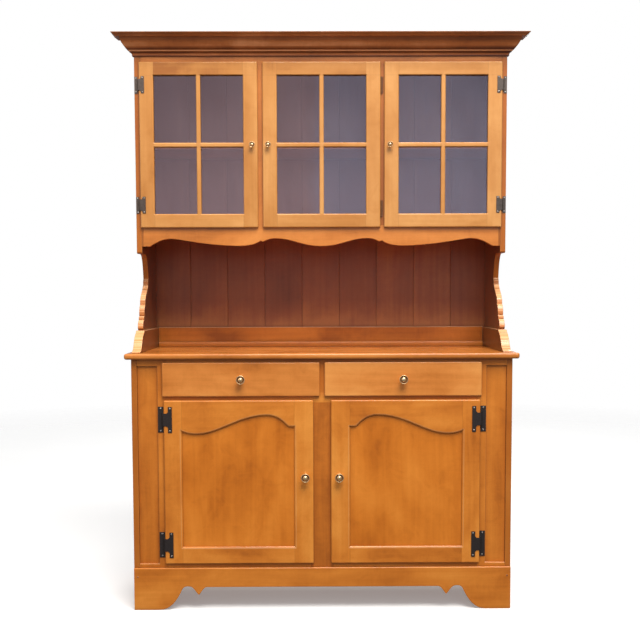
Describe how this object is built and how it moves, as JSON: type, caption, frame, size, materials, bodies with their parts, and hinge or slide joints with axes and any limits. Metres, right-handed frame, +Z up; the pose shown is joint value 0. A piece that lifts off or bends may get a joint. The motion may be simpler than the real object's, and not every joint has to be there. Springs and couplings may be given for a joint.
{
  "type": "china hutch",
  "caption": "Farmhouse china hutch: glazed cabinet with scrolled sides and moulded cornice over an open counter, drawers and scroll-topped cupboard doors on bracket feet.",
  "frame": {"origin": "centre of the bounding box's base, on the floor", "axes": "+Z up, the doors face -Y, +X is the viewer's right when facing the doors"},
  "size_m": [1.3616, 0.4948, 1.88],
  "materials": {
    "maple_frame": "honey maple under satin lacquer",
    "maple_panel": "deeper honey maple under satin lacquer",
    "maple_back": "dark stained boards",
    "maple_inside": "pale unstained drawer wood",
    "door_glass": "clear polished",
    "brass": "polished, darkened in the ring",
    "black_iron": "black, lightly worn",
    "aged_bronze": "dark antique"
  },
  "bodies": {
    "case": {"base_side_left": "maple_frame", "base_side_right": "maple_frame", "base_bottom": "maple_frame", "base_back": "maple_back", "base_shelf": "maple_frame", "drawer_deck": "maple_frame", "base_face_frame": "maple_frame", "plinth_front": "maple_frame", "countertop": "maple_frame", "gallery": "maple_frame", "gallery_strip": "maple_frame", "upper_side_left": "maple_frame", "upper_side_right": "maple_frame", "plank_back": "maple_back", "upper_bottom": "maple_frame", "upper_shelf": "maple_frame", "upper_top": "maple_frame", "upper_face_frame": "maple_frame", "cornice": "maple_frame", "glazed_door_left_upper_frame_leaf": "aged_bronze", "glazed_door_left_lower_frame_leaf": "aged_bronze", "glazed_door_middle_upper_frame_leaf": "aged_bronze", "glazed_door_middle_lower_frame_leaf": "aged_bronze", "glazed_door_right_upper_frame_leaf": "aged_bronze", "glazed_door_right_lower_frame_leaf": "aged_bronze", "cupboard_door_left_upper_frame_leaf": "black_iron", "cupboard_door_left_lower_frame_leaf": "black_iron", "cupboard_door_right_upper_frame_leaf": "black_iron", "cupboard_door_right_lower_frame_leaf": "black_iron"},
    "glazed_door_left": {"glazed_door_left_frame": "maple_frame", "glazed_door_left_glass": "door_glass", "glazed_door_left_knob": "brass", "glazed_door_left_upper_door_leaf": "aged_bronze", "glazed_door_left_lower_door_leaf": "aged_bronze"},
    "glazed_door_middle": {"glazed_door_middle_frame": "maple_frame", "glazed_door_middle_glass": "door_glass", "glazed_door_middle_knob": "brass", "glazed_door_middle_upper_door_leaf": "aged_bronze", "glazed_door_middle_lower_door_leaf": "aged_bronze"},
    "glazed_door_right": {"glazed_door_right_frame": "maple_frame", "glazed_door_right_glass": "door_glass", "glazed_door_right_knob": "brass", "glazed_door_right_upper_door_leaf": "aged_bronze", "glazed_door_right_lower_door_leaf": "aged_bronze"},
    "cupboard_door_left": {"cupboard_door_left_frame": "maple_frame", "cupboard_door_left_panel": "maple_panel", "cupboard_door_left_knob": "brass", "cupboard_door_left_upper_door_leaf": "black_iron", "cupboard_door_left_lower_door_leaf": "black_iron"},
    "cupboard_door_right": {"cupboard_door_right_frame": "maple_frame", "cupboard_door_right_panel": "maple_panel", "cupboard_door_right_knob": "brass", "cupboard_door_right_upper_door_leaf": "black_iron", "cupboard_door_right_lower_door_leaf": "black_iron"},
    "drawer_left": {"drawer_left_front": "maple_frame", "drawer_left_box": "maple_inside", "drawer_left_knob": "brass"},
    "drawer_right": {"drawer_right_front": "maple_frame", "drawer_right_box": "maple_inside", "drawer_right_knob": "brass"}
  },
  "joints": [
    {"name": "glazed_door_left_hinge", "type": "hinge", "parent": "case", "child": "glazed_door_left", "pos_m": [-0.6036, -0.0697, 1.523], "axis": [0, 0, -1], "range_deg": [0, 105]},
    {"name": "glazed_door_middle_hinge", "type": "hinge", "parent": "case", "child": "glazed_door_middle", "pos_m": [0.20027, -0.0697, 1.523], "axis": [0, 0, 1], "range_deg": [0, 95]},
    {"name": "glazed_door_right_hinge", "type": "hinge", "parent": "case", "child": "glazed_door_right", "pos_m": [0.6036, -0.0697, 1.523], "axis": [0, 0, 1], "range_deg": [0, 105]},
    {"name": "cupboard_door_left_hinge", "type": "hinge", "parent": "case", "child": "cupboard_door_left", "pos_m": [-0.516, -0.2161, 0.422], "axis": [0, 0, -1], "range_deg": [0, 105]},
    {"name": "cupboard_door_right_hinge", "type": "hinge", "parent": "case", "child": "cupboard_door_right", "pos_m": [0.516, -0.2161, 0.422], "axis": [0, 0, 1], "range_deg": [0, 105]},
    {"name": "drawer_left_slide", "type": "slide", "parent": "case", "child": "drawer_left", "axis": [0, -1, 0], "range_m": [0, 0.3]},
    {"name": "drawer_right_slide", "type": "slide", "parent": "case", "child": "drawer_right", "axis": [0, -1, 0], "range_m": [0, 0.3]}
  ]
}
